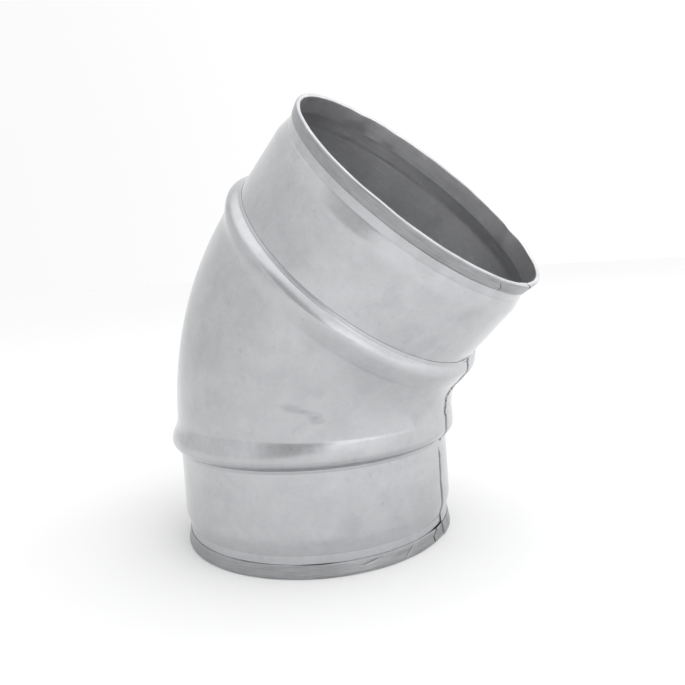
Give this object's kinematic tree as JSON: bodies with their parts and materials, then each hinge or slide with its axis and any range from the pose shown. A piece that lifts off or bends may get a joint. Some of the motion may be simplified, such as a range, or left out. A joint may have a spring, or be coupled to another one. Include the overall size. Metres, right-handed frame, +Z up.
{
  "type": "flue elbow",
  "caption": "Galvanised 45 degree flue elbow: straight collars with folded lips, joined by a curved middle gore that they can be turned in.",
  "frame": {"origin": "under the middle of the whole bounding box, on the plane of the lower collar's lip", "axes": "+Z up along the lower collar's axis, +X the side that the elbow bends towards, +Y across the bend"},
  "size_m": [0.2096, 0.159, 0.2383],
  "materials": {
    "lower_collar": "galvanised, satin",
    "middle_gore": "galvanised, satin",
    "upper_collar": "galvanised, satin"
  },
  "bodies": {
    "lower_collar": {"lower_collar": "lower_collar"},
    "middle_gore": {"middle_gore": "middle_gore"},
    "upper_collar": {"upper_collar": "upper_collar"}
  },
  "joints": [
    {"name": "lower_swivel", "type": "hinge", "parent": "lower_collar", "child": "middle_gore", "pos_m": [-0.02527, 0, 0.0515], "axis": [0, 0, 1], "continuous": true},
    {"name": "upper_swivel", "type": "hinge", "parent": "middle_gore", "child": "upper_collar", "pos_m": [0.01524, 0, 0.14929], "axis": [0.7071, 0, 0.7071], "continuous": true}
  ]
}
